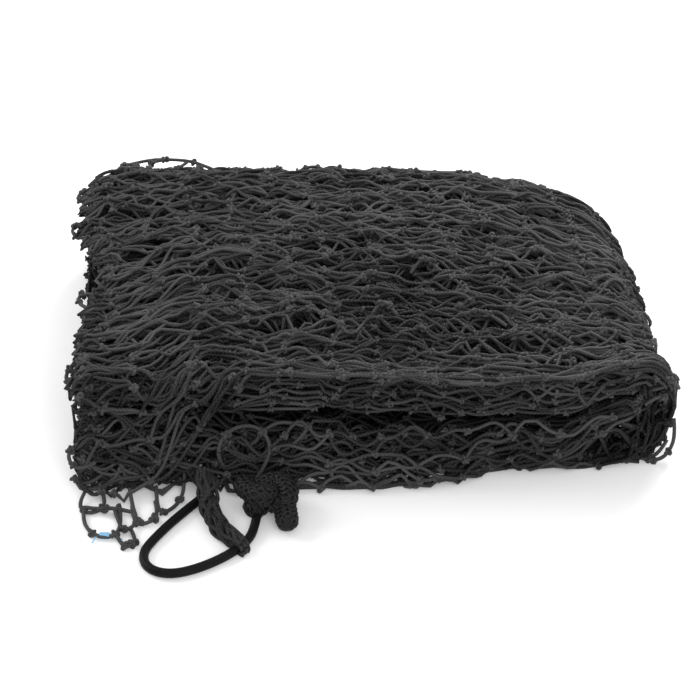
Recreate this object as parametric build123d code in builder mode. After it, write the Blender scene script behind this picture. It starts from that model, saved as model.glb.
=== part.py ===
from build123d import *
import os
from math import cos, pi, radians, sin, tan

# A tennis net, folded flat for storage. Millimetres. +Z is up. +X runs along the strands, towards the
# rounded fold. -Y is the front, where the tie cord and the gathered corner of the net come out.
# The origin is on the floor, below the middle of the net.

# Driving dimensions
NET_LENGTH = 12800.0  # along the court's centre line from post to post, when it hangs
BUNDLE_WIDTH = 480.0  # left end to rounded fold
BUNDLE_HEIGHT = 80.0
FOLD_HEIGHT = 50.0  # middle of the fold: the lower half stands taller than the upper half, which sags
FOLD_RADIUS = 40.0  # how far the outermost turn bulges past the middle of the fold
FOLD_GAP = 10.0  # open space between the upper and the lower half of the bundle
LEAF_CLEARANCE = 0.15  # between one leaf and the next
TWINE = 3.0  # braided twine of the meshes
TIE_CORD = 7.0
GATHER = 17.0  # the corner meshes, bunched together
FRONT_SLANT = 2.5  # degrees by which the front edge turns away from the X axis
UPPER_SETBACK = 16.0  # the upper half stays back from the foot of the front face by this much
INNER_SETBACK = 14.0  # and the leaves beside the gap stay back from their own half's front by this much
LEFT_STAGGER = 3.0  # step between the left ends of neighbouring leaves
BASE_FLAT = 0.2  # trimmed off the underside of the lowest leaf, which leaves its flat resting face

TURNS = int(NET_LENGTH / (2 * BUNDLE_WIDTH))  # times that the net goes round the fold

# Plan outline of the bundle, front to back: depth, left end and outermost reach of the fold
STATIONS = [
    (-145.5, -238.0, 233.0),
    (-20.0, -230.0, 237.0),
    (100.0, -237.0, 234.0),
    (170.0, -239.0, 201.0),
    (214.0, -213.0, 123.0),
]

# Routes, each a list of points chosen along the piece's middle line
TIE_CORD_ROUTE = [
    (-136.0, -154.2, 3.5),
    (-153.1, -172.8, 3.5),
    (-169.3, -194.4, 3.5),
    (-177.8, -209.1, 3.5),
    (-175.7, -224.0, 3.5),
    (-163.4, -232.6, 3.5),
    (-146.4, -232.0, 3.5),
    (-122.5, -221.5, 3.5),
    (-103.0, -205.5, 3.5),
    (-95.5, -190.5, 4.5),
    (-92.5, -172.5, 9.0),
]
GATHER_ROUTE = [
    (-129.5, -153.8, 14.0),
    (-130.5, -171.0, 9.8),
    (-127.0, -188.5, 8.6),
    (-120.5, -205.5, 8.5),
]
TAIL_ROUTE = [
    (-73.0, -170.0, 12.0),
    (-72.0, -183.0, 10.0),
    (-71.0, -196.0, 8.6),
]
CORNER_MESH_ROUTES = [
    [
        (-223.0, -156.0, 2.7),
        (-224.0, -172.0, 2.7),
        (-214.0, -189.0, 2.7),
        (-199.0, -191.0, 2.7),
        (-194.0, -175.0, 2.7),
        (-197.0, -155.0, 2.7),
    ],
    [
        (-187.0, -154.4, 2.7),
        (-187.5, -167.0, 2.7),
        (-180.0, -179.0, 2.7),
        (-170.0, -174.0, 2.7),
        (-168.0, -163.0, 2.7),
        (-170.0, -153.7, 2.7),
    ],
]

KNOT_CENTRE = (-87.0, -166.5, 16.5)
KNOT_WIDTH = 50.0
KNOT_THICKNESS = 33.0

MARKER_LENGTH = 6.0
MARKER_WALL = 1.0
MARKER_CLEARANCE = 0.1


def corner_radii(route):
    """Radius of the arc at each inner point of a route: as large as its two runs allow."""
    points = [Vector(*point) for point in route]
    radii = []
    for before, here, after in zip(points, points[1:], points[2:]):
        turn = (here - before).get_angle(after - here)
        shorter = min((here - before).length, (after - here).length)
        radii.append(0.45 * shorter / tan(radians(turn) / 2))
    return radii


def make_tube(name, route, diameter):
    """A plain tube along a route of straight runs joined by tangent arcs."""
    radii = corner_radii(route)
    print(name, "radii", [round(radius, 1) for radius in radii])
    with BuildPart() as tube:
        with BuildLine() as path:
            FilletPolyline(*route, radius=radii)
        with BuildSketch(Plane(origin=path.line @ 0, z_dir=path.line % 0)):
            Circle(diameter / 2)
        sweep()
    length = path.wire().length
    ratio = tube.part.volume / (length * pi * diameter**2 / 4)
    print(name, "length", round(length, 1), "volume ratio", round(ratio, 4))
    return tube.part


def finish(part, name):
    """Name a finished piece and write it to its own file."""
    part.label = name
    export_step(part, f"parts/{name}.step")


def leaf_plane(depth, is_front, setback):
    """Upright plane across the bundle; the front one follows the slanted front edge."""
    slant = radians(FRONT_SLANT) if is_front else 0.0
    origin = (0.0, depth + setback if is_front else depth, FOLD_HEIGHT)
    return Plane(origin=origin, x_dir=(cos(slant), sin(slant), 0), z_dir=(sin(slant), -cos(slant), 0))


def leaf_bounds(index, size):
    """Outer and inner distance of a leaf from the middle of the fold, where the whole pile takes up size."""
    pitch = (size - FOLD_GAP / 2) / TURNS
    outer = size - index * pitch
    return outer, outer - pitch + LEAF_CLEARANCE


def make_leaf(index, side):
    """Half a turn of folded net: a flat run and a quarter of the fold. side is 1 above, -1 below."""
    outer, inner = leaf_bounds(index, BUNDLE_HEIGHT - FOLD_HEIGHT if side > 0 else FOLD_HEIGHT)
    outer_reach, inner_reach = leaf_bounds(index, FOLD_RADIUS)
    rests = index == 0 and side < 0
    if rests:
        outer += BASE_FLAT
    middle = (inner + outer) / 2
    end_round = (outer - inner) / 2
    setback = INNER_SETBACK * (index / (TURNS - 1)) ** 2 + (UPPER_SETBACK if side > 0 else 0.0)
    stagger = LEFT_STAGGER * ((index * 2) % 5)
    with BuildPart() as leaf:
        for number, (depth, left, reach) in enumerate(STATIONS):
            axis = reach - FOLD_RADIUS
            end = left + stagger + end_round
            with BuildSketch(leaf_plane(depth, number == 0, setback)):
                with BuildLine():
                    Line((end, side * outer), (axis, side * outer))
                    EllipticalCenterArc((axis, 0), outer_reach, outer, 0, arc_size=90 * side)
                    Line((axis + outer_reach, 0), (axis + inner_reach, 0))
                    EllipticalCenterArc((axis, 0), inner_reach, inner, 0, arc_size=90 * side)
                    Line((axis, side * inner), (end, side * inner))
                    ThreePointArc((end, side * inner), (end - end_round, side * middle), (end, side * outer))
                make_face()
        loft()
        if rests:
            split(bisect_by=Plane.XY, keep=Keep.TOP)
    return leaf.part


os.makedirs("parts", exist_ok=True)

# The netting: the folded leaves, numbered from the outside in
for index in range(TURNS):
    finish(make_leaf(index, 1), f"net_leaf_upper_{index + 1:02d}")
    finish(make_leaf(index, -1), f"net_leaf_lower_{index + 1:02d}")

# Single meshes that hang out of the front left corner
for number, route in enumerate(CORNER_MESH_ROUTES, start=1):
    finish(make_tube(f"corner_mesh_{number}", route, TWINE), f"corner_mesh_{number}")

# The marker thread: a short whipping round the first corner mesh, between its second and third bars
marker_from = Vector(*CORNER_MESH_ROUTES[0][2])
marker_to = Vector(*CORNER_MESH_ROUTES[0][3])
marker_plane = Plane(origin=(marker_from + marker_to) * 0.5, z_dir=marker_to - marker_from)
marker_bore = TWINE / 2 + MARKER_CLEARANCE
with BuildPart() as marker:
    with BuildSketch(marker_plane):
        Circle(marker_bore + MARKER_WALL)
        Circle(marker_bore, mode=Mode.SUBTRACT)
    extrude(amount=MARKER_LENGTH / 2, both=True)
finish(marker.part, "marker_thread")

# The gathered corner: border meshes bunched into one thick strand, rounded where it takes the cord
with BuildPart() as gather:
    add(make_tube("gathered_corner", GATHER_ROUTE, GATHER))
    with Locations(GATHER_ROUTE[-1]):
        Sphere(GATHER / 2)
finish(gather.part, "gathered_corner")

# The stopper knot, its tail and the tie cord that runs into it
with BuildPart() as knot:
    with BuildSketch(Plane(origin=KNOT_CENTRE, z_dir=(0, -1, 0), x_dir=(1, 0, 0))):
        Ellipse(KNOT_WIDTH / 2, KNOT_THICKNESS / 2)
        with Locations((0, -KNOT_THICKNESS / 2)):
            Rectangle(2 * KNOT_WIDTH, KNOT_THICKNESS, mode=Mode.SUBTRACT)
    revolve(axis=Axis(KNOT_CENTRE, (1, 0, 0)))
finish(knot.part, "stopper_knot")

with BuildPart() as tail:
    add(make_tube("rope_tail", TAIL_ROUTE, GATHER))
    with Locations(TAIL_ROUTE[-1]):
        Sphere(GATHER / 2)
    add(knot.part, mode=Mode.SUBTRACT)
finish(tail.part, "knot_tail")

with BuildPart() as tie_cord:
    add(make_tube("tie_cord", TIE_CORD_ROUTE, TIE_CORD))
    add(knot.part, mode=Mode.SUBTRACT)
finish(tie_cord.part, "tie_cord")
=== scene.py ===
from math import cos, pi, radians, sin

import bpy
import numpy as np
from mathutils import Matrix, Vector


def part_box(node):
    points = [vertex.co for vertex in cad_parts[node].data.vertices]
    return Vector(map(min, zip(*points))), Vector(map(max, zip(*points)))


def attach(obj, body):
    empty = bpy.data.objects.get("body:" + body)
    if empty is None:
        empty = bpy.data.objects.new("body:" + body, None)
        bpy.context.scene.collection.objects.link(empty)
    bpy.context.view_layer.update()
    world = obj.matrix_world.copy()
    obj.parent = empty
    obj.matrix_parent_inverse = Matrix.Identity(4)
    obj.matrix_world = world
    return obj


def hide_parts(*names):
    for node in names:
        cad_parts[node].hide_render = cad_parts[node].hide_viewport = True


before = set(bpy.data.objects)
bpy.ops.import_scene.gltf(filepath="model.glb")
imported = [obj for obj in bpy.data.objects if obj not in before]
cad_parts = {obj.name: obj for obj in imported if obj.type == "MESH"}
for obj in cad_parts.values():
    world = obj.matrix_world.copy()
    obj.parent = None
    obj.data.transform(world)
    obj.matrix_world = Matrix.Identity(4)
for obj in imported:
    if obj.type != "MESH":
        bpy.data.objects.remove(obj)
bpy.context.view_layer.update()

# A folded tennis net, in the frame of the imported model: +X runs along the strands towards the rounded fold,
# -Y is the front, and the floor is z = 0. Blender's own unit is the metre. The netting and the small cords
# are worked out in millimetres and become metres when their meshes are made.
MM = 0.001
FLOOR_GAP = 0.0001  # nothing lies lower than this over the floor
SEED = 11


# ---------------------------------------------------------------- camera
CAMERA_AZIMUTH = radians(4.0)
CAMERA_ELEVATION = radians(37.0)
CAMERA_DISTANCE = 1.40
CAMERA_TARGET = Vector((-0.013, -0.017, 0.035))
SENSOR = 36.0
FOCAL_WIDTHS = 2.464  # focal length in widths of the picture


def make_camera():
    """A long lens, from a little left of the front, looking down on the bundle."""
    flat = cos(CAMERA_ELEVATION)
    ahead = Vector((sin(CAMERA_AZIMUTH) * flat, cos(CAMERA_AZIMUTH) * flat, -sin(CAMERA_ELEVATION)))
    camera = bpy.data.objects.new("camera", bpy.data.cameras.new("camera"))
    bpy.context.collection.objects.link(camera)
    camera.location = CAMERA_TARGET - ahead * CAMERA_DISTANCE
    camera.rotation_mode = "QUATERNION"
    camera.rotation_quaternion = ahead.to_track_quat("-Z", "Y")
    camera.data.sensor_width = SENSOR
    camera.data.lens = SENSOR * FOCAL_WIDTHS
    camera.data.clip_start = 0.05
    bpy.context.scene.camera = camera


make_camera()


# ---------------------------------------------------------------- materials
def new_material(name, base, roughness, sheen=0.0, specular=0.35):
    """A Principled material with its plain values on the shader's own sockets."""
    material = bpy.data.materials.new(name)
    material.use_nodes = True
    shader = material.node_tree.nodes["Principled BSDF"]
    shader.inputs["Base Color"].default_value = (*base, 1)
    shader.inputs["Roughness"].default_value = roughness
    shader.inputs["Sheen Weight"].default_value = sheen
    shader.inputs["Sheen Roughness"].default_value = 0.5
    shader.inputs["Specular IOR Level"].default_value = specular
    return material, shader


BRAID_STARTS = 2  # ridges round the strand, each way
FIBRE_SCALE = 900.0  # noise features in a metre
BLOTCH_SCALE = 45.0


def braided_material(name, dark, light, roughness, sheen, pitch, depth, shade_and_tone=0.0, specular=0.35):
    """Braided fibre: crossed ridges along the strand, fine fibres, and blotches of lighter, rubbed fibre.

    The mesh's "shade_and_tone" attribute, from 0 deep in the pile to 1 on its outside, moves the colour from
    dark to light by the share shade_and_tone. It paints shade: strands that lie deeper are painted darker."""
    material, shader = new_material(name, dark, roughness, sheen, specular)
    nodes, links = material.node_tree.nodes, material.node_tree.links

    def math_node(operation, *values):
        node = nodes.new("ShaderNodeMath")
        node.operation = operation
        for socket, value in zip(node.inputs, values):
            if isinstance(value, (int, float)):
                socket.default_value = value
            else:
                links.new(value, socket)
        return node.outputs[0]

    def noise_node(scale, detail):
        node = nodes.new("ShaderNodeTexNoise")
        node.inputs["Scale"].default_value = scale
        node.inputs["Detail"].default_value = detail
        links.new(place.outputs["Object"], node.inputs["Vector"])
        return node.outputs["Fac"]

    place = nodes.new("ShaderNodeTexCoord")
    along = nodes.new("ShaderNodeUVMap")
    along.uv_map = "along"
    split = nodes.new("ShaderNodeSeparateXYZ")
    links.new(along.outputs["UV"], split.inputs["Vector"])
    lengthwise = math_node("MULTIPLY", split.outputs["Y"], 2 * pi / pitch)
    around = 2 * pi * BRAID_STARTS
    right_hand = math_node("SINE", math_node("MULTIPLY_ADD", split.outputs["X"], around, lengthwise))
    left_hand = math_node("SINE", math_node("MULTIPLY_ADD", split.outputs["X"], -around, lengthwise))
    ridges = math_node("MAXIMUM", right_hand, left_hand)
    fibre = noise_node(FIBRE_SCALE, 2.0)
    blotch = noise_node(BLOTCH_SCALE, 3.0)

    bump = nodes.new("ShaderNodeBump")
    bump.inputs["Strength"].default_value = 0.7
    bump.inputs["Distance"].default_value = depth
    links.new(math_node("MULTIPLY_ADD", fibre, 0.6, ridges), bump.inputs["Height"])
    links.new(bump.outputs["Normal"], shader.inputs["Normal"])

    shade = math_node("MULTIPLY_ADD", ridges, 0.12, math_node("MULTIPLY", blotch, 1.0 - 0.45 * shade_and_tone))
    # the shade_and_tone attribute paints shade into the colour: darker deep in the pile, with random tone on
    # top
    if shade_and_tone:
        shade_and_tone_node = nodes.new("ShaderNodeAttribute")
        shade_and_tone_node.attribute_name = "shade_and_tone"
        shade = math_node("MULTIPLY_ADD", shade_and_tone_node.outputs["Fac"], shade_and_tone, shade)
    ramp = nodes.new("ShaderNodeValToRGB")
    ramp.color_ramp.elements[0].position = 0.25
    ramp.color_ramp.elements[0].color = (*dark, 1)
    ramp.color_ramp.elements[1].position = 0.85 + 0.35 * shade_and_tone
    ramp.color_ramp.elements[1].color = (*light, 1)
    links.new(shade, ramp.inputs["Fac"])
    links.new(ramp.outputs["Color"], shader.inputs["Base Color"])
    return material


NETTING = braided_material(
    "netting",
    (0.0016, 0.0016, 0.0018),
    (0.056, 0.056, 0.0573),
    roughness=0.6,
    sheen=0.02,
    pitch=3.2 * MM,
    depth=0.14 * MM,
    shade_and_tone=0.9,
    specular=0.13,
)
CORD = braided_material(
    "cord",
    (0.0012, 0.0012, 0.0013),
    (0.005, 0.005, 0.0053),
    roughness=0.5,
    sheen=0.01,
    pitch=3.0 * MM,
    depth=0.12 * MM,
    specular=0.12,
)
ROPE = braided_material(
    "rope",
    (0.0014, 0.0014, 0.0015),
    (0.009, 0.009, 0.0095),
    roughness=0.42,
    sheen=0.01,
    pitch=2.4 * MM,
    depth=0.15 * MM,
    specular=0.22,
)
MARKER = braided_material("marker", (0.16, 0.42, 0.68), (0.35, 0.62, 0.85), 0.6, 0.3, 1.2 * MM, 0.1 * MM)


# ---------------------------------------------------------------- tubes
def frames_along(paths):
    """Two unit directions square to each of the (count, points, 3) paths, at every point."""
    ahead = np.gradient(paths, axis=1)
    ahead /= np.linalg.norm(ahead, axis=2, keepdims=True) + 1e-12
    up = np.zeros_like(ahead)
    up[..., 2] = 1.0
    up[np.abs(ahead[..., 2]) > 0.9] = (0.0, 1.0, 0.0)
    side = np.cross(up, ahead)
    side /= np.linalg.norm(side, axis=2, keepdims=True) + 1e-12
    return side, np.cross(ahead, side)


def tube_arrays(paths, radius, sides):
    """Vertices, quads and along-the-strand UVs of one tube for each path. radius may vary along a path."""
    count, points, _ = paths.shape
    side, over = frames_along(paths)
    angle = np.arange(sides) * 2 * pi / sides
    ring = side[:, :, None] * np.cos(angle)[:, None] + over[:, :, None] * np.sin(angle)[:, None]
    radius = np.broadcast_to(np.asarray(radius, float), (count, points))
    vertices = paths[:, :, None] + ring * radius[:, :, None, None]
    base = np.arange(count)[:, None, None] * points * sides
    here = base + np.arange(points - 1)[None, :, None] * sides
    a = here + np.arange(sides)
    b = here + (np.arange(sides) + 1) % sides
    quads = np.stack([a, b, b + sides, a + sides], axis=-1).reshape(-1, 4)
    step = np.linalg.norm(np.diff(paths, axis=1), axis=2)
    along = np.concatenate([np.zeros((count, 1)), np.cumsum(step, axis=1)], axis=1)
    low = np.broadcast_to(along[:, :-1, None], (count, points - 1, sides))
    high = np.broadcast_to(along[:, 1:, None], (count, points - 1, sides))
    left = np.broadcast_to(np.arange(sides) / sides, low.shape)
    right = left + 1 / sides
    corners = [np.stack(pair, -1) for pair in ((left, low), (right, low), (right, high), (left, high))]
    return vertices.reshape(-1, 3), quads, np.stack(corners, axis=-2).reshape(-1, 4, 2)


def mesh_object(name, parts, material, shade_and_tone=None):
    """One smooth-shaded object from a list of (vertices, quads, uv) parts and, if given, their painted shade
    with random tone.
    """
    offsets = np.cumsum([0] + [len(part[0]) for part in parts[:-1]])
    vertices = np.concatenate([part[0] for part in parts])
    vertices[:, 2] = np.maximum(vertices[:, 2], FLOOR_GAP)
    quads = np.concatenate([part[1] + offset for part, offset in zip(parts, offsets)])
    uvs = np.concatenate([part[2] for part in parts])
    mesh = bpy.data.meshes.new(name)
    mesh.vertices.add(len(vertices))
    mesh.vertices.foreach_set("co", vertices.astype(np.float32).ravel())
    mesh.loops.add(quads.size)
    mesh.loops.foreach_set("vertex_index", quads.astype(np.int32).ravel())
    mesh.polygons.add(len(quads))
    mesh.polygons.foreach_set("loop_start", np.arange(len(quads), dtype=np.int32) * 4)
    layer = mesh.uv_layers.new(name="along")
    layer.data.foreach_set("uv", uvs.astype(np.float32).ravel())
    if shade_and_tone is not None:
        attribute = mesh.attributes.new("shade_and_tone", "FLOAT", "POINT")
        attribute.data.foreach_set("value", np.clip(shade_and_tone, 0, 1).astype(np.float32).ravel())
    mesh.update(calc_edges=True)
    mesh.validate()
    mesh.shade_smooth()
    mesh.materials.append(material)
    thing = bpy.data.objects.new(name, mesh)
    bpy.context.collection.objects.link(thing)
    return thing


def spline_points(route, resolution=12):
    """Points along the open NURBS spline that has the route's points as its control points."""
    curve = bpy.data.curves.new("route", "CURVE")
    curve.dimensions = "3D"
    spline = curve.splines.new("NURBS")
    spline.points.add(len(route) - 1)
    for point, place in zip(spline.points, route):
        point.co = (*place, 1.0)
    spline.order_u = 3
    spline.use_endpoint_u = True
    spline.resolution_u = resolution
    holder = bpy.data.objects.new("route", curve)
    bpy.context.collection.objects.link(holder)
    mesh = bpy.data.meshes.new_from_object(holder)
    points = np.array([vertex.co[:] for vertex in mesh.vertices])
    bpy.data.objects.remove(holder)
    bpy.data.meshes.remove(mesh)
    return points


def rounded_ends(count, radius, share):
    """Radius along a tube of count points, rounded off over the last share of it."""
    end = np.clip((1 - np.linspace(0, 1, count)) / share, 0, 1)
    return radius * np.sqrt(np.clip(1 - (1 - end) ** 2, 0.0004, 1))


def carried_frames(line):
    """Two unit directions square to one line, carried along it without twisting."""
    ahead = np.gradient(line, axis=0)
    ahead /= np.linalg.norm(ahead, axis=1, keepdims=True)
    side = np.zeros_like(ahead)
    start = np.cross(ahead[0], (0.0, 0.6, 0.8))
    side[0] = start / np.linalg.norm(start)
    for i in range(1, len(line)):
        moved = side[i - 1] - ahead[i] * np.dot(side[i - 1], ahead[i])
        side[i] = moved / np.linalg.norm(moved)
    return side, np.cross(ahead, side)


def rope_parts(line, radius):
    """A braided rope along a line: a core under strands that wind both ways and pass over each other."""
    side, over = carried_frames(line)
    along = np.concatenate([[0.0], np.cumsum(np.linalg.norm(np.diff(line, axis=0), axis=1))])
    parts = [tube_arrays(line[None], radius[None] * 0.86, 12)]
    for hand in (1, -1):
        for strand in range(ROPE_STRANDS):
            angle = hand * 2 * pi * along / ROPE_PITCH + 2 * pi * strand / ROPE_STRANDS
            out = radius * (0.86 + 0.05 * hand * np.sin(ROPE_STRANDS * angle))
            path = line + side * (np.cos(angle) * out)[:, None] + over * (np.sin(angle) * out)[:, None]
            parts.append(tube_arrays(path[None], radius[None] * 0.16, 6))
    return parts


# ---------------------------------------------------------------- the tie cord, its knot and the knot's tail
TIE_DIAMETER = 0.007
TIE_CORD_ROUTE = [
    (-0.1360, -0.1542, 0.0035),
    (-0.1531, -0.1728, 0.0035),
    (-0.1693, -0.1944, 0.0035),
    (-0.1778, -0.2091, 0.0035),
    (-0.1757, -0.2240, 0.0035),
    (-0.1634, -0.2326, 0.0035),
    (-0.1464, -0.2320, 0.0035),
    (-0.1225, -0.2215, 0.0035),
    (-0.1030, -0.2055, 0.0035),
    (-0.0955, -0.1905, 0.0045),
    (-0.0925, -0.1725, 0.0090),
]
TAIL_ROUTE = [
    (-0.0730, -0.1700, 0.0120),
    (-0.0720, -0.1830, 0.0100),
    (-0.0710, -0.1960, 0.0086),
]
TAIL_RADIUS = 0.0084
TAIL_ROUNDING = 0.28  # share of the tail's length that its rounded end takes up
ROPE_RADIUS = 0.0080
ROPE_STRANDS = 8  # each way round
ROPE_PITCH = 0.034  # length in which a strand goes once round the rope
KNOT_LEAN = radians(-20.0)  # turn of the stopper knot, seen from the front


def make_stopper_knot():
    """A thick rope drawn into a tight overhand knot, inside the box of its CAD solid."""
    low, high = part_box("stopper_knot")
    centre = np.array((low + high) / 2)
    reach = np.array((high - low) / 2) - ROPE_RADIUS
    u = np.linspace(0, 2 * pi, 360)
    trefoil = np.stack([np.sin(u) + 2 * np.sin(2 * u), -np.sin(3 * u), np.cos(u) - 2 * np.cos(2 * u)], -1)
    trefoil /= np.abs(trefoil).max(axis=0)
    x, z = trefoil[:, 0].copy(), trefoil[:, 2].copy()
    trefoil[:, 0] = x * cos(KNOT_LEAN) - 0.5 * z * sin(KNOT_LEAN)
    trefoil[:, 2] = z * cos(KNOT_LEAN) + 0.5 * x * sin(KNOT_LEAN)
    trefoil /= np.abs(trefoil).max(axis=0)
    line = centre + trefoil * reach
    thickness = ROPE_RADIUS * (1 + 0.05 * np.sin(7 * u))
    return mesh_object("stopper_knot_rope", rope_parts(line, thickness), ROPE)


tie_path = spline_points(TIE_CORD_ROUTE)
tie_cord = mesh_object("tie_cord_rope", [tube_arrays(tie_path[None], TIE_DIAMETER / 2, 16)], CORD)
knot = make_stopper_knot()
tail_path = spline_points(TAIL_ROUTE, 48)
tail_radius = rounded_ends(len(tail_path), TAIL_RADIUS, TAIL_ROUNDING)
tail = mesh_object("knot_tail_rope", rope_parts(tail_path, tail_radius), ROPE)
for piece, node, slot in (
    (tie_cord, "tie_cord", "cord"),
    (knot, "stopper_knot", "rope"),
    (tail, "knot_tail", "rope"),
):
    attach(piece, "root")
    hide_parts(node)


# ---------------------------------------------------------------- netting: its outline, in millimetres
TURNS = 13
TWINE = 3.0
FOLD_HEIGHT = 50.0
TOP_HEIGHT = 79.0
REACH = 38.0  # from the fold's middle to its outermost strand
TURN_STEP = 2.6  # how much further in each turn goes round the fold than the one before
ABOVE = (TOP_HEIGHT - FOLD_HEIGHT) / REACH  # the fold is an oval: lower above its middle, higher below it
BELOW = (FOLD_HEIGHT - TWINE / 2) / REACH
DEPTH = 350.0  # of the bundle, front to back

# Outlines, as matching lists of places along one axis and along the other
FOOT = ([-240, -200, -60, 0, 55, 85, 150, 205, 240], [-148, -153, -151, -155, -153, -141, -140, -136, -124])
LIP = ([-240, -150, -95, -15, 64, 145, 190, 240], [-112, -106, -121, -128, -140, -142, -133, -116])
BACK = ([-240, -215, -130, -40, 80, 150, 200, 240], [192, 214, 214, 209, 198, 174, 140, 106])
FOLD = ([-150, -110, -60, 30, 90, 130, 165, 195, 220], [232, 234, 228, 229, 227, 221, 195, 156, 95])
LEFT = (
    [-150, -113, -76, -18, 20, 55, 88, 112, 165, 185, 215],
    [-222, -230, -233, -227, -222, -216, -218, -233, -237, -230, -206],
)
# How far the front face stands back from the line between foot and lip, by height: rounded at the foot and
# at the lip, and open at the gap between the two halves
FACE = ([0, 4, 12, 40, 48, 53, 58, 66, 73, 80], [4, 1, 0, 0, 4, 9, 2, 0, 4, 14])


def smooth_step(x):
    """0 up to x = 0 and 1 from x = 1 on, with an even rise between."""
    x = np.clip(x, 0.0, 1.0)
    return x * x * (3 - 2 * x)


def noise(u, v, number):
    """Smooth noise between about -1 and 1 with features one unit across, the same for the same number."""
    table = np.random.default_rng(SEED * 1000 + number).uniform(-1, 1, (64, 64))
    ui, vi = np.floor(u).astype(int), np.floor(v).astype(int)
    fu, fv = smooth_step(u - ui), smooth_step(v - vi)

    def at(i, j):
        return table[i % 64, j % 64]

    low = at(ui, vi) * (1 - fu) + at(ui + 1, vi) * fu
    high = at(ui, vi + 1) * (1 - fu) + at(ui + 1, vi + 1) * fu
    return low * (1 - fv) + high * fv


def front(x, z, open_gap=True):
    """Depth of the front face at x and height z. Without open_gap the gap between the halves is bridged."""
    foot, lip = np.interp(x, *FOOT), np.interp(x, *LIP)
    rise = np.clip(z / FOLD_HEIGHT, 0, 1)
    face = np.interp(z, *FACE)
    if not open_gap:
        face = np.where((z > 12) & (z < 66), 0.0, face)
    return foot + (lip - foot) * rise + face


def plan_depth(x, z, t):
    """Depth at x and z of the strand that lies at t, from 0 at the front edge to 1 at the back one."""
    near = front(x, z)
    return near + t * (np.interp(x, *BACK) - near)


# ---------------------------------------------------------------- netting: the lattice of knots and bars
COLUMN_PITCH = 37.0
ROWS = 24
SAMPLES = 9
RUN = 432.0  # from the left end to the middle of the fold
KNOT_SCATTER = (3.0, 0.010)  # along the net in millimetres, and across it as a share of its width
SWAY = 0.0135  # how far a bar bows to one side, as a share of the net's width
KINK = 0.0080  # and to both sides
rng = np.random.default_rng(SEED)

turn_radii = REACH - np.arange(TURNS) * TURN_STEP
TURN_ENDS = np.concatenate([[0.0], np.cumsum(2 * RUN + pi * turn_radii)])


def unroll(s):
    """Turn that strip distance s is on, distance within it from its upper left end, and its length.

    Within a turn the distance runs along the upper half, round the fold and back along the lower half."""
    turn = np.clip(np.searchsorted(TURN_ENDS, s, side="right") - 1, 0, TURNS - 1)
    inside = s - TURN_ENDS[turn]
    length = TURN_ENDS[turn + 1] - TURN_ENDS[turn]
    a = np.where(turn % 2 == 0, inside, length - inside)
    return turn, np.clip(a, 0, length), length


def make_lattice():
    """Strip positions of the knots, the two knots of every bar and strip positions along the bars."""
    columns = int(TURN_ENDS[-1] / COLUMN_PITCH)
    ci, cj = np.meshgrid(np.arange(columns), np.arange(ROWS), indexing="ij")
    s = (ci + 0.5) * COLUMN_PITCH
    t = (cj + 0.5 * (ci % 2) + 0.25) / ROWS
    # near the front edge the rows run straighter, and calmer on the upper half
    near = 1 - smooth_step(t / 0.2)
    t = t - 0.26 * (ci % 2 - 0.5) / ROWS * near
    _, a, length = unroll(s)
    calm = 1.0 - 0.65 * (1 - smooth_step(t / 0.2)) * (a < 0.55 * length)
    drift = 9.0 * noise(s / 160, t * 5, 3) + 6.0 * noise(s / 45, t * 22, 4)
    s = s + drift + rng.normal(0, KNOT_SCATTER[0], s.shape)
    warp = 0.034 * noise(s / 190, t * 4, 5) + 0.030 * noise(s / 60, t * 14, 6)
    t = t + warp * smooth_step(np.minimum(t, 1 - t) * 8) + rng.normal(0, KNOT_SCATTER[1], t.shape) * calm
    s = np.clip(s, 1.0, TURN_ENDS[-1] - 1.0).ravel()
    t = np.clip(t, 0.004, 0.996).ravel()
    first, second = [], []
    for shift in (0, 1):
        for parity in (0, 1):
            ii, jj = np.meshgrid(np.arange(parity, columns - 1, 2), np.arange(ROWS), indexing="ij")
            other = jj + (shift - 1 if parity == 0 else shift)
            good = (other >= 0) & (other < ROWS)
            first.append((ii * ROWS + jj)[good])
            second.append(((ii + 1) * ROWS + other)[good])
    first, second = np.concatenate(first), np.concatenate(second)
    w = np.linspace(0, 1, SAMPLES)
    calm = calm.ravel()[first][:, None]
    sway = rng.normal(0, SWAY, (len(first), 1)) * np.sin(pi * w) * calm
    kink = rng.normal(0, KINK, (len(first), 1)) * np.sin(2 * pi * w) * calm
    along = s[first][:, None] * (1 - w) + s[second][:, None] * w
    across = t[first][:, None] * (1 - w) + t[second][:, None] * w + sway + kink
    return s, t, first, second, along, np.clip(across, 0.0, 1.0)


knot_s, knot_t, first, second, bar_s, bar_t = make_lattice()
bar_turn = unroll(bar_s[:, SAMPLES // 2])[0]
knot_turn = unroll(knot_s)[0]


# ---------------------------------------------------------------- netting: the pile settles
CELL = 2.5
LAID = 1000.0  # every turn is mapped to this length on the height grid
BED = 2.0  # height that one strand adds to the pile, a little less than its thickness
FINE = 25  # spots along a bar where its height is worked out


def grid_place(a, length, t):
    """Cell of the height grid below a spot."""
    ai = np.clip((a / length * LAID / CELL).astype(int), 0, int(LAID / CELL) + 19)
    ti = np.clip((t * DEPTH / CELL).astype(int) + 4, 1, int(DEPTH / CELL) + 12)
    return ai, ti


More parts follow.
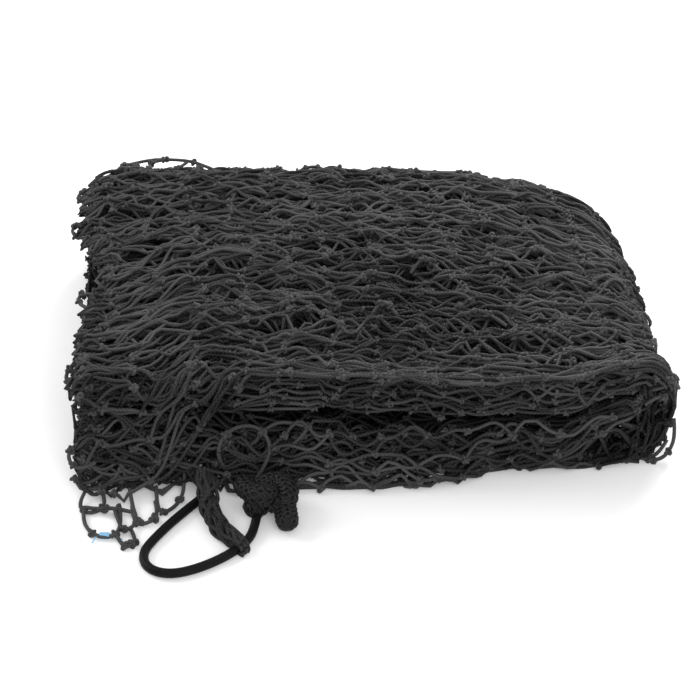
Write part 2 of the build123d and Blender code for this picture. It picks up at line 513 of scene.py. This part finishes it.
def pile():
    """Height of every bar and knot over the fold's middle surface: the turns are laid from the inside out."""
    f = np.linspace(0, 1, FINE)
    position = f * (SAMPLES - 1)
    i0 = np.clip(position.astype(int), 0, SAMPLES - 2)
    mix = position - i0
    top = np.zeros((int(LAID / CELL) + 20, int(DEPTH / CELL) + 14))
    bar_height = np.zeros(bar_s.shape)
    knot_height = np.full(len(knot_s), np.nan)
    for turn in reversed(range(TURNS)):
        pick = np.nonzero(bar_turn == turn)[0]
        ends = (first[pick], second[pick])
        s = bar_s[pick][:, i0] * (1 - mix) + bar_s[pick][:, i0 + 1] * mix
        t = bar_t[pick][:, i0] * (1 - mix) + bar_t[pick][:, i0 + 1] * mix
        _, a, length = unroll(s)
        ai, ti = grid_place(a, length, t)
        under = np.maximum(top[ai, ti], np.maximum(top[ai, ti - 1], top[ai, ti + 1]) - 0.8)
        rest = under + BED / 2
        lie = rest.copy()
        for _ in range(6):
            lie[:, 1:-1] = 0.25 * lie[:, :-2] + 0.5 * lie[:, 1:-1] + 0.25 * lie[:, 2:]
            lie = np.maximum(lie, rest - 0.5)
        fresh = np.full(len(knot_s), -1.0)
        for end, column in zip(ends, (0, -1)):
            np.maximum.at(fresh, end, lie[:, column])
        fresh = np.where(np.isnan(knot_height), fresh, -1.0)
        knot_height[fresh > 0] = fresh[fresh > 0]
        blend = np.sin(pi * f) ** 0.5
        chord = knot_height[ends[0]][:, None] * (1 - f) + knot_height[ends[1]][:, None] * f
        lie = np.maximum(lie, chord * (1 - blend) + lie * blend)
        lie[:, 0] = knot_height[ends[0]]
        lie[:, -1] = knot_height[ends[1]]
        np.maximum.at(top, (ai, ti), lie + BED / 2)
        np.maximum.at(top, (ai[:, [0, -1]], ti[:, [0, -1]]), lie[:, [0, -1]] + BED)
        bar_height[pick] = lie[:, :: (FINE - 1) // (SAMPLES - 1)]
    return bar_height, np.nan_to_num(knot_height, nan=BED), top


def blur(field, cells):
    """Box blur, done by running sums along each axis."""
    for axis in (0, 1):
        size = field.shape[axis]
        padded = np.concatenate(
            [field.take([0] * (cells + 1), axis), field, field.take([-1] * cells, axis)], axis
        )
        total = np.cumsum(padded, axis)
        width = 2 * cells + 1
        field = (total.take(range(width, width + size), axis) - total.take(range(size), axis)) / width
    return field


bar_height, knot_height, pile_top = pile()
# loose bars bow upwards between their knots
lift = np.clip(rng.normal(0.2, 1.3, (len(bar_s), 1)), 0, 3.0)
bar_height = bar_height + lift * np.sin(pi * np.linspace(0, 1, SAMPLES))
smooth_top = blur(pile_top, 10)


# ---------------------------------------------------------------- netting: from the strip into space
FACE_ROWS = 0.13  # share of the net's width that stands up on the lower half's front face
FACE_TURNS = 3  # outer turns that do so
FACE_TOP = 50.0  # height that the outermost standing rows reach
FACE_STEP = 3.2  # distance between one standing turn and the next
CORNER_ROWS = 0.13  # share of the net's width that hangs down over the front left corner
CORNER_FALL = 78.0  # how far the front edge hangs down there
LEFT_PULL = 52.0  # how far the left end of the top is pulled towards the front
CLIMB_HEIGHT = 58.0  # height that the standing rows climb to at the front of the fold
RIM_HEIGHT = 60.0  # and that the inner rows climb to there
TURN_BACK = 0.6  # share of their reach past the fold's middle that climbing strands lose
# Places where the strands of the top have parted: middle and half size
POCKETS = [
    (-66, -38, 26, 9),
    (-31, -47, 22, 8),
    (79, -48, 26, 8),
    (92, -75, 22, 8),
    (14, -20, 16, 8),
    (53, 36, 20, 9),
    (-120, 45, 24, 9),
    (-20, 70, 26, 8),
    (120, 20, 20, 7),
    (-170, -45, 20, 8),
    (10, 130, 24, 7),
    (150, -100, 20, 7),
]
SMALL_POCKETS = 46
pocket_rng = np.random.default_rng(SEED + 1)
for _ in range(SMALL_POCKETS):
    spot = (pocket_rng.uniform(-200, 190), pocket_rng.uniform(-100, 170))
    POCKETS.append((*spot, pocket_rng.uniform(9, 20), pocket_rng.uniform(3.5, 6.5)))


def fold_place(s, t, height):
    """Place of a spot of the net in the plain folded pile, and how deep it lies under the pile's outside."""
    turn, a, length = unroll(s)
    ai, ti = grid_place(a, length, t)
    local = np.maximum(smooth_top[ai, ti], 12.0)
    deep = np.clip(local - height, -4.5, local)

    run = (length - pi * (REACH - turn * TURN_STEP)) / 2
    angle = np.clip((a - run) / (length - 2 * run), 0, 1) * pi
    squash = np.where(a < length / 2, ABOVE, BELOW)
    upper, lower = a < run, a > length - run
    axis = np.interp(plan_depth(np.full_like(t, 190.0), np.full_like(t, FOLD_HEIGHT), t), *FOLD) - REACH
    left = np.interp(plan_depth(np.full_like(t, -225.0), np.full_like(t, 60.0), t), *LEFT)
    left = left + 5.0 * noise(turn * 3.7, t * 7, 1) + 3.5 * noise(turn * 3.7, t * 25, 2) + 0.5 * turn
    stretch = (axis - left) / run
    x = np.where(upper, left + a * stretch, np.where(lower, left + (length - a) * stretch, axis))
    gape = 8.0 * (1 - smooth_step(t / 0.25)) * smooth_step((x + 130.0) / 60.0)
    inner = 1.5 + 8.0 * smooth_step((x - 160.0) / 45.0) + gape
    room = (REACH - TWINE / 2 - inner) * squash
    swell = 2.2 * noise(x / 55.0, t * 9.0, 14) + 1.3 * noise(x / 26.0, t * 20.0, 15) - 1.5
    swell = swell * smooth_step((t - 0.06) / 0.1) * np.clip(1 - deep / 20.0, 0, 1)
    r = inner + (room - deep + swell - (room - local) * (np.maximum(deep, 0) / local) ** 2) / squash
    x = x + np.where(upper | lower, 0.0, r * np.sin(angle))
    z = FOLD_HEIGHT + r * np.cos(angle) * squash
    back_edge = 1 - smooth_step((1 - t) * DEPTH / 30.0)
    z = z - 5.0 * back_edge * smooth_step((z - FOLD_HEIGHT) / 20.0)
    return turn, x, z, upper, lower, deep, axis


def lower_face(turn, x, z, t, axis, upper, lower, y):
    """The outer turns of the lower half stand up at the front, so that their meshes face forward.

    Near the fold the rows that stand fan out, climb towards the upper half and turn back early. The rows
    behind them spread out over the underside."""
    on = ~upper & (turn < FACE_TURNS) & (t < 2 * FACE_ROWS)
    behind = t >= FACE_ROWS
    rise = np.clip((FACE_ROWS - t) / FACE_ROWS, 0, 1)
    top = FACE_TOP - 3 * turn
    low = np.minimum(z, top)
    z_face = np.where(behind, z, low + rise * (top - low))
    climb = np.where(behind, 0.0, smooth_step((x - 125.0) / 75.0) * smooth_step(1.5 * rise))
    z_face = z_face + climb * (CLIMB_HEIGHT + 0.2 * (z - FOLD_HEIGHT) - z_face)
    x_face = x - climb * TURN_BACK * np.maximum(x - axis, 0.0)
    y_face = front(x, z_face) + FACE_STEP * turn + np.where(behind, (t - FACE_ROWS) * 2 * DEPTH, 0.0)
    hold = np.where(on, smooth_step((76.0 - z) / 26.0), 0.0)
    back = lower & (turn >= FACE_TURNS)
    y = y + np.where(back, 6.0 * (1 - smooth_step(t / 0.2)), 0.0)
    return x + hold * (x_face - x), y + hold * (y_face - y), z + hold * (z_face - z)


def corner_drape(turn, x, z, t, upper, y):
    """The outer turns of the upper half hang down over the front left corner, so their strands fan out."""
    ragged = 14.0 * noise(x / 40.0 + 9.1 * turn, t * 30.0, 7)
    weight = smooth_step((-78.0 - x + ragged) / 100.0) * np.clip(1.25 - turn / 6.0, 0, 1)
    rows = CORNER_ROWS * weight
    on = upper & (t < 2 * rows) & (weight > 0)
    over = t < rows
    fall = np.maximum(rows - t, 0) * CORNER_FALL / CORNER_ROWS
    z_hang = np.maximum(z - fall, 2.0 + 2.2 * turn)
    z_hang = np.where(over, z_hang, z)
    y_hang = front(x, z_hang, False) - 2.0 + 2.4 * turn
    edge = front(x, z, False)
    y_top = edge + (y - edge) * 2 * (t - rows) / np.maximum(t, 0.001)
    y_hang = np.where(over, y_hang, y_top)
    return np.where(on, y_hang, y), np.where(on, z_hang, z), np.where(on & over, weight, 0.0)


def part_strands(x, y, z, deep):
    """Pushes the outermost strands of the top apart at the pockets.

    Also gives how far in a pocket a spot is."""
    on = smooth_step((z - 62.0) / 8.0) * np.clip(1.3 - deep / 3.5, 0, 1)
    pocket = np.zeros_like(x)
    for middle_x, middle_y, half_x, half_y in POCKETS:
        u, v = (x - middle_x) / half_x, (y - middle_y) / half_y
        push = np.exp(-(u**2)) * np.exp(-0.5 * v**2)
        y = y + on * push * half_y * np.tanh(2.5 * v)
        pocket = np.maximum(pocket, np.exp(-(u**2) - v**2))
    return y, z - 4.0 * pocket * smooth_step(deep / 2.0), pocket


def surface_shade_and_tone(turn, x, y, z, t, deep, lower, hung, pocket):
    """Painted shade, with random tone, of spots of the net: from 0, painted darkest, deep in the pile to 1 on
    its outside.
    """
    # painted shade: darker the deeper a spot lies in the pile, and darker still where the strands have parted
    shade_and_tone = (0.85 - deep / 3.6) * (1 - 0.8 * pocket * smooth_step(deep / 2.0))
    # the standing rows vary in random patches, and get painted shade at their foot and on the turns further
    # in
    faced = lower & (turn < FACE_TURNS) & (t < FACE_ROWS)
    random_patches_and_foot_shade = 0.65 + 0.5 * smooth_step(0.6 + 0.9 * noise(x / 42.0, z / 17.0, 21))
    random_patches_and_foot_shade = random_patches_and_foot_shade * (0.55 + 0.45 * smooth_step((z - 2.0) / 12.0))
    shade_and_tone = np.where(faced, (1.0 - 0.3 * turn) * random_patches_and_foot_shade, shade_and_tone)
    # painted shade: the hanging turns further in are darker
    shade_and_tone = np.where(hung > 0, 0.95 - 0.25 * turn, shade_and_tone)
    # painted shade holds the inner turns dark, but for their front edge, which is painted lighter as if lit
    edge = smooth_step((0.12 - t) / 0.10)
    shade_and_tone = np.where(turn > 3, np.maximum(np.minimum(shade_and_tone, 0.25), 0.75 * edge), shade_and_tone)
    # painted shade darkens the open front of the fold, but for the rows that climb across it; the outermost
    # of those gets a painted highlight towards the fold
    hollow_shade = smooth_step((0.45 - t) / 0.3) * smooth_step((x - 148.0) / 30.0)
    hollow_shade = hollow_shade * smooth_step((58.0 - z) / 14.0)
    lit = faced & (turn < 2) & (t < 0.09)
    shade_and_tone = shade_and_tone * (1 - np.where(lit, 0.0, 0.97) * hollow_shade)
    shade_and_tone = shade_and_tone + np.where(lit & (turn == 0), 0.35, 0.0) * smooth_step((x - 110.0) / 40.0)
    # painted shade darkens the middle of the top, and painted light brightens the back of its left end
    middle = np.exp(-(((x - 30.0) / 130.0) ** 2) - ((y + 35.0) / 115.0) ** 2)
    shade_and_tone = shade_and_tone * (1 - 0.85 * middle * smooth_step((z - 55.0) / 8.0))
    shade_and_tone = shade_and_tone * (1 + 0.5 * smooth_step((-120.0 - x) / 50.0) * smooth_step(y / 60.0))
    return np.clip(shade_and_tone, 0, 1)


def to_space(s, t, height):
    """Places in metres of spots of the net, and their painted shade with random tone."""
    turn, x, z, upper, lower, deep, axis = fold_place(s, t, height)
    y = plan_depth(x, z, t)
    # the left end is pulled towards the front, so its strands run back and to the right
    pull = smooth_step((-105.0 - x) / 115.0) * np.exp(-(((y - 35.0) / 90.0) ** 2))
    y = y - LEFT_PULL * pull * smooth_step((z - FOLD_HEIGHT) / 14.0) * np.clip(1 - turn / 7.0, 0, 1)
    # the upper lip sags into the gap
    sag = smooth_step((0.16 - t) / 0.16) * smooth_step((z - FOLD_HEIGHT) / 3.0)
    sag = sag * smooth_step((185.0 - x) / 40.0)
    z = z - sag * np.where(upper, 3.5 + 2.5 * noise(x / 60.0, turn * 0.7, 8), 0.0)
    # inside the outer strands the front of the fold is open: the inner ones climb early and turn back early
    inside = smooth_step((deep - 3.0) / 4.0) * (1 - smooth_step(t / 0.2))
    inside = inside * smooth_step((x - 130.0) / 70.0)
    x = x - inside * TURN_BACK * np.maximum(x - axis, 0.0)
    z = z + inside * (RIM_HEIGHT + 0.2 * (z - FOLD_HEIGHT) - z)
    y = y + 6.0 * inside
    x, y, z = lower_face(turn, x, z, t, axis, upper, lower, y)
    y, z, hung = corner_drape(turn, x, z, t, upper, y)
    # under the hanging corner the lower half stays back
    hidden = lower & (x < -95.0)
    y = y + np.where(hidden, 4.0 * smooth_step((-95.0 - x) / 50.0) * (1 - smooth_step(t / 0.3)), 0.0)
    y, z, pocket = part_strands(x, y, z, deep)
    z = np.clip(z, TWINE / 2, TOP_HEIGHT + 5.0)
    shade_and_tone = surface_shade_and_tone(turn, x, y, z, t, deep, lower, hung, pocket)
    return np.stack([x, y, z], axis=-1) * MM, shade_and_tone


# painted shade by depth in the pile, then random tone along the bars
bar_points, bar_shade_and_tone = to_space(bar_s, bar_t, bar_height)
knot_points, knot_shade_and_tone = to_space(knot_s, knot_t, knot_height)
blotches = 0.75 + 0.4 * noise(bar_s / 60, bar_t * 9, 9)
bar_shade_and_tone = bar_shade_and_tone * rng.uniform(0.15, 1.0, (len(bar_shade_and_tone), 1)) * blotches


# ---------------------------------------------------------------- netting: its meshes
def knot_template(points, sides):
    """A small overhand knot of twine, about three strands across, as one tube."""
    u = np.linspace(0, 2 * pi, points + 1)
    x, y = np.sin(u) + 1.6 * np.sin(2 * u), np.cos(u) - 1.6 * np.cos(2 * u)
    line = np.stack([x, y, -1.3 * np.sin(3 * u)], -1)
    return tube_arrays(line[None] * 1.15 * MM, 1.4 * MM, sides)


def random_rotations(count):
    """Random turns, mostly about the vertical."""
    yaw, tilt = rng.uniform(0, 2 * pi, count), rng.normal(0, 0.5, count)
    c, s, ct, st = np.cos(yaw), np.sin(yaw), np.cos(tilt), np.sin(tilt)
    zero, one = np.zeros(count), np.ones(count)
    turned = np.stack([c, -s, zero, s, c, zero, zero, zero, one], -1).reshape(-1, 3, 3)
    leaned = np.stack([one, zero, zero, zero, ct, -st, zero, st, ct], -1).reshape(-1, 3, 3)
    return turned @ leaned


def knot_arrays(centres, points, sides):
    """One turned copy of the knot at each centre."""
    template, quads, uv = knot_template(points, sides)
    size = rng.uniform(0.85, 1.15, len(centres))
    copies = np.einsum("nij,vj->nvi", random_rotations(len(centres)), template) * size[:, None, None]
    shifted = quads[None] + (np.arange(len(centres)) * len(template))[:, None, None]
    placed = (copies + centres[:, None]).reshape(-1, 3)
    return placed, shifted.reshape(-1, 4), np.tile(uv, (len(centres), 1, 1))


OUTER_TURNS = 4  # turns whose bars and knots have more sides, because they show


def make_turn(turn):
    """All bars and knots of one turn round the fold."""
    outer = turn < OUTER_TURNS
    sides = 5 if outer else 4
    pick, knots = bar_turn == turn, knot_turn == turn
    bars = tube_arrays(bar_points[pick], TWINE / 2 * MM, sides)
    tied = knot_arrays(knot_points[knots], 18 if outer else 10, 4 if outer else 3)
    shade_and_tone = [np.repeat(bar_shade_and_tone[pick].ravel(), sides)]
    # a painted highlight: knots are a little lighter than the bars around them
    shade_and_tone.append(np.repeat(knot_shade_and_tone[knots] + 0.15, len(tied[0]) // max(knots.sum(), 1)))
    return mesh_object(f"netting_turn_{turn + 1:02d}", [bars, tied], NETTING, np.concatenate(shade_and_tone))


for turn in range(TURNS):
    piece = make_turn(turn)
    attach(piece, "root")
    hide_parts(f"net_leaf_upper_{turn + 1:02d}", f"net_leaf_lower_{turn + 1:02d}")


# ---------------------------------------------------------------- loose meshes, in millimetres
CORNER_MESHES = {
    "corner_mesh_1": [
        (-223, -156, 2.7), (-224, -172, 2.7), (-214, -189, 2.7),
        (-199, -191, 2.7), (-194, -175, 2.7), (-197, -155, 2.7),
    ],
    "corner_mesh_2": [
        (-187, -154.4, 2.7), (-187.5, -167, 2.7), (-180, -179, 2.7),
        (-170, -174, 2.7), (-168, -163, 2.7), (-170, -153.7, 2.7),
    ],
}
LOOSE_MESHES = [
    # along the foot and the rim of the open fold
    [(190, -116, 8), (202, -127, 3), (213, -132, 2), (222, -131, 2.5), (229, -127, 7), (233, -122, 18),
     (232, -116, 30)],
    [(196, -118, 4), (208, -124, 3), (216, -122, 5), (224, -119, 12), (229, -114, 22), (230, -108, 34)],
    [(170, -131, 3), (182, -134, 2.5), (196, -130, 3), (210, -128, 2.5), (220, -128, 4), (227, -122, 14)],
    # inside the open fold
    [(206, -122, 50), (213, -122, 57), (222, -118, 54), (224, -114, 42), (216, -114, 34), (208, -118, 30)],
    # on the floor at the front left corner
    [(-222, -140, 6), (-228, -152, 3), (-222, -163, 2), (-210, -160, 2), (-207, -150, 4), (-212, -138, 9)],
    [(-222, -158, 4), (-211, -162, 5), (-202, -161, 5), (-193, -163, 4), (-186, -165, 3)],
    [(-200, -162, 4), (-197, -175, 5), (-193, -185, 4), (-186, -183, 4), (-183, -172, 3), (-187, -158, 3),
     (-189, -144, 8)],
    [(-198, -188, 5), (-195, -198, 2), (-187, -201, 2), (-183, -194, 2), (-187, -184, 3)],
    [(-169, -142, 8), (-169, -156, 3), (-165, -167, 2), (-156, -161, 2), (-150, -150, 2), (-148, -140, 6),
     (-147, -126, 15)],
    # out of the left end
    [(-216, 178, 72), (-230, 188, 72), (-242, 178, 70), (-234, 166, 69), (-218, 160, 71)],
    [(-222, 126, 73), (-236, 134, 72), (-244, 122, 69), (-232, 110, 68), (-220, 112, 71)],
    [(-206, 86, 74), (-218, 94, 73), (-227, 82, 71), (-214, 70, 72)],
    [(-214, 18, 74), (-228, 26, 73), (-232, 12, 71), (-222, 4, 72)],
    [(-218, -66, 72), (-230, -62, 70), (-237, -80, 66), (-227, -90, 67), (-218, -84, 70)],
    [(-216, -118, 34), (-230, -116, 32), (-236, -126, 26), (-226, -136, 20), (-214, -130, 24)],
    # along the back edge, at its left
    [(-212, 200, 73), (-206, 219, 74), (-193, 223, 75), (-186, 212, 76), (-192, 202, 75)],
    [(-196, 221, 75), (-178, 227, 76), (-160, 226, 76), (-140, 220, 77), (-126, 209, 77), (-114, 200, 76)],
    [(-186, 200, 75), (-178, 210, 76), (-176, 223, 76), (-166, 225, 76)],
    [(-166, 196, 75), (-163, 204, 77), (-150, 210, 76), (-144, 220, 76)],
    [(-140, 196, 76), (-134, 204, 77), (-130, 213, 76)],
    [(-204, 200, 74), (-196, 210, 75), (-184, 214, 75), (-174, 206, 75)],
    [(-78, 194, 74), (-71, 204, 75), (-60, 206, 75), (-54, 196, 74)],
    [(-48, 194, 74), (-40, 205, 75), (-24, 206, 75), (-18, 196, 74)],
    # a ring of twine on the front face, over the gathered corner
    [(-116, -134, 16), (-121, -136, 24), (-120, -129, 38), (-108, -123, 47), (-92, -122, 47), (-82, -128, 38),
     (-82, -137, 26), (-94, -146, 12)],
    # strands kinked up on the top
    [(2, -30, 76), (8, -24, 83), (15, -20, 85), (20, -28, 81), (26, -34, 77)],
    [(40, 28, 77), (47, 36, 83), (55, 40, 84), (60, 33, 80), (68, 26, 76)],
    [(-62, -26, 77), (-50, -20, 82), (-40, -26, 83), (-30, -34, 79), (-18, -36, 76)],
    [(70, -36, 77), (84, -32, 82), (96, -40, 82), (108, -50, 77)],
    [(-96, 66, 77), (-84, 74, 82), (-70, 72, 82), (-58, 62, 77)],
    [(118, -66, 77), (130, -60, 82), (144, -66, 81), (156, -76, 76)],
]


def twine_parts(route):
    """A length of twine along a route in millimetres, with two knots on it."""
    line = spline_points(np.array(route, float) * MM)
    places = np.linspace(0, len(line) - 1, 4).astype(int)[1:-1]
    return [tube_arrays(line[None], TWINE / 2 * MM, 8), knot_arrays(line[places], 20, 5)]


def make_twine_piece(name, routes, shade_and_tone):
    """One object of lengths of twine, all with the same value of painted shade and tone."""
    parts = [part for route in routes for part in twine_parts(route)]
    total = sum(len(part[0]) for part in parts)
    return mesh_object(name, parts, NETTING, np.full(total, shade_and_tone))


for node, route in CORNER_MESHES.items():
    piece = make_twine_piece(f"{node}_twine", [route], 0.8)
    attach(piece, "root")
    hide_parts(node)
loose = make_twine_piece("loose_meshes", LOOSE_MESHES, 0.6)
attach(loose, "root")


FOOT_STRANDS = 9
FOOT_SETBACK = 8.0


def foot_routes():
    """Strands that lie along the foot of the front face, just behind its outermost row."""
    x = np.linspace(-66.0, 204.0, 14)
    routes = []
    for _ in range(FOOT_STRANDS):
        y = np.interp(x, *FOOT) + FOOT_SETBACK + rng.normal(0, 2.2, x.shape)
        z = np.maximum(3.2 + rng.normal(0, 1.6, x.shape), TWINE / 2)
        routes.append(np.stack([x, y, z], -1))
    return routes


# held dark, as painted shade along the foot
foot = make_twine_piece("foot_strands", foot_routes(), 0.2)
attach(foot, "root")


# ---------------------------------------------------------------- the marker thread
def make_marker():
    """A thin thread whipped round one bar of the first corner mesh, with two short free ends."""
    first_end, last_end = (np.array(CORNER_MESHES["corner_mesh_1"][i], float) for i in (2, 3))
    ahead = (last_end - first_end) / np.linalg.norm(last_end - first_end)
    side = np.cross((0, 0, 1), ahead)
    middle = (first_end + last_end) / 2 + side * 1.6
    turns, length, radius, thread = 9, 7.0, 2.0, 0.5
    u = np.linspace(0, 1, turns * 14)
    angle = u * turns * 2 * pi
    coil = middle + ahead * ((u - 0.5) * length)[:, None]
    coil = coil + (side * np.cos(angle)[:, None] + np.array((0, 0, 1)) * np.sin(angle)[:, None]) * radius
    ends = [
        [tuple(coil[0]), tuple(coil[0] + (-3, -3, 0.6)), (coil[0][0] - 6, coil[0][1] - 8, 0.8)],
        [tuple(coil[-1]), tuple(coil[-1] + (4, -2, 0.5)), (coil[-1][0] + 9, coil[-1][1] - 5, 0.8)],
    ]
    parts = [tube_arrays(coil[None] * MM, thread * MM, 6)]
    parts += [tube_arrays(spline_points(np.array(end) * MM)[None], thread * MM, 6) for end in ends]
    return mesh_object("marker_thread_whipping", parts, MARKER)


marker = make_marker()
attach(marker, "root")
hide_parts("marker_thread")


# ---------------------------------------------------------------- the gathered corner
GATHER_ROUTE = [
    (-133.0, -140.0, 17.0),
    (-130.5, -154.0, 13.0),
    (-129.0, -171.0, 9.8),
    (-124.5, -187.0, 8.6),
    (-115.0, -202.0, 8.0),
    (-105.0, -209.0, 6.5),
]
GATHER_STRANDS = 24
GATHER_RADIUS = 6.6
# held low on the painted shade-and-tone ramp, so the gathered strands come out dark
GATHER_SHADE_AND_TONE = 0.22
WRAP_CENTRE = (-106.0, -209.5, 3.5)  # on the tie cord
WRAPS = 3
WRAP_PITCH = 3.0
WRAP_RADIUS = 5.0


def wrap_arrays():
    """Twine wound round the tie cord, over the end of the gathered corner."""
    hold = np.array(WRAP_CENTRE) * MM
    # along the tie cord, and square to it
    ahead, across = np.array((0.79, 0.61, 0.0)), np.array((0.61, -0.79, 0.0))
    angle = np.linspace(-WRAPS * pi, WRAPS * pi, 90)
    reach = WRAP_RADIUS + 0.5 * np.sin(1.7 * angle)
    place = ahead * (angle / pi * WRAP_PITCH / 2)[:, None] + across * (np.cos(angle) * reach)[:, None]
    coil = hold + place * MM
    coil[:, 2] = np.maximum(hold[2] + np.sin(angle) * reach * MM, TWINE / 2 * MM)
    return tube_arrays(coil[None], TWINE / 2 * MM, 8)


def make_gather():
    """Border meshes bunched into one thick strand that runs to the tie cord, its end wound with twine."""
    line = spline_points(np.array(GATHER_ROUTE) * MM)
    side, over = (vectors[0] for vectors in frames_along(line[None]))
    u = np.linspace(0, 1, len(line))
    parts = []
    for strand in range(GATHER_STRANDS):
        reach = GATHER_RADIUS * MM * (strand % 3 + 1) / 3
        bulge = 1 + 0.10 * np.sin(2 * pi * (3 * u + rng.uniform()))
        sway = 0.10 * np.sin(2 * pi * (2 * u + rng.uniform()))
        angle = 2 * pi * (strand / GATHER_STRANDS * 3 + 0.8 * u + sway)
        out = reach * bulge * (1 - 0.3 * smooth_step((u - 0.8) / 0.2))
        path = line + side * (np.cos(angle) * out)[:, None] + over * (np.sin(angle) * out)[:, None]
        path[:, 2] = np.maximum(path[:, 2], TWINE / 2 * MM)
        parts.append(tube_arrays(path[None], TWINE / 2 * MM, 6))
        if strand % 4 == 0:
            places = rng.integers(len(line) // 5, len(line) - 3, 1)
            parts.append(knot_arrays(path[places], 18, 4))
    parts.append(wrap_arrays())
    total = sum(len(part[0]) for part in parts)
    return mesh_object("gathered_corner_twine", parts, NETTING, np.full(total, GATHER_SHADE_AND_TONE))


gather = make_gather()
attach(gather, "root")
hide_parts("gathered_corner")


# ---------------------------------------------------------------- floor and light
LAMPS = (
    # name, place in metres, size, power in watts
    ("key", (0.75, 1.15, 0.85), 0.7, 23.0),
    ("side", (-1.2, 0.5, 0.9), 0.7, 11.0),
    ("fill", (0.2, -1.4, 1.1), 1.0, 12.0),
)
WORLD_STRENGTH = 0.70
FLOOR_GLOW = 0.10  # lightens the shadows on the floor


def make_stage():
    """A white floor, even light from all round, and soft lamps."""
    bpy.ops.mesh.primitive_plane_add(size=30, location=(0, 0, 0))
    floor = bpy.context.object
    floor.name = "floor"
    material, shader = new_material("floor", (0.9, 0.9, 0.9), 0.9)
    shader.inputs["Emission Color"].default_value = (1, 1, 1, 1)
    shader.inputs["Emission Strength"].default_value = FLOOR_GLOW
    floor.data.materials.append(material)
    world = bpy.data.worlds.new("world")
    bpy.context.scene.world = world
    world.use_nodes = True
    world.node_tree.nodes["Background"].inputs["Color"].default_value = (1, 1, 1, 1)
    world.node_tree.nodes["Background"].inputs["Strength"].default_value = WORLD_STRENGTH
    for name, place, size, power in LAMPS:
        lamp = bpy.data.lights.new(name, "AREA")
        lamp.size = size
        lamp.energy = power
        holder = bpy.data.objects.new(name, lamp)
        holder.location = place
        holder.rotation_mode = "QUATERNION"
        holder.rotation_quaternion = (-Vector(place)).to_track_quat("-Z", "Y")
        bpy.context.collection.objects.link(holder)


make_stage()
bpy.context.scene.view_settings.view_transform = "Standard"
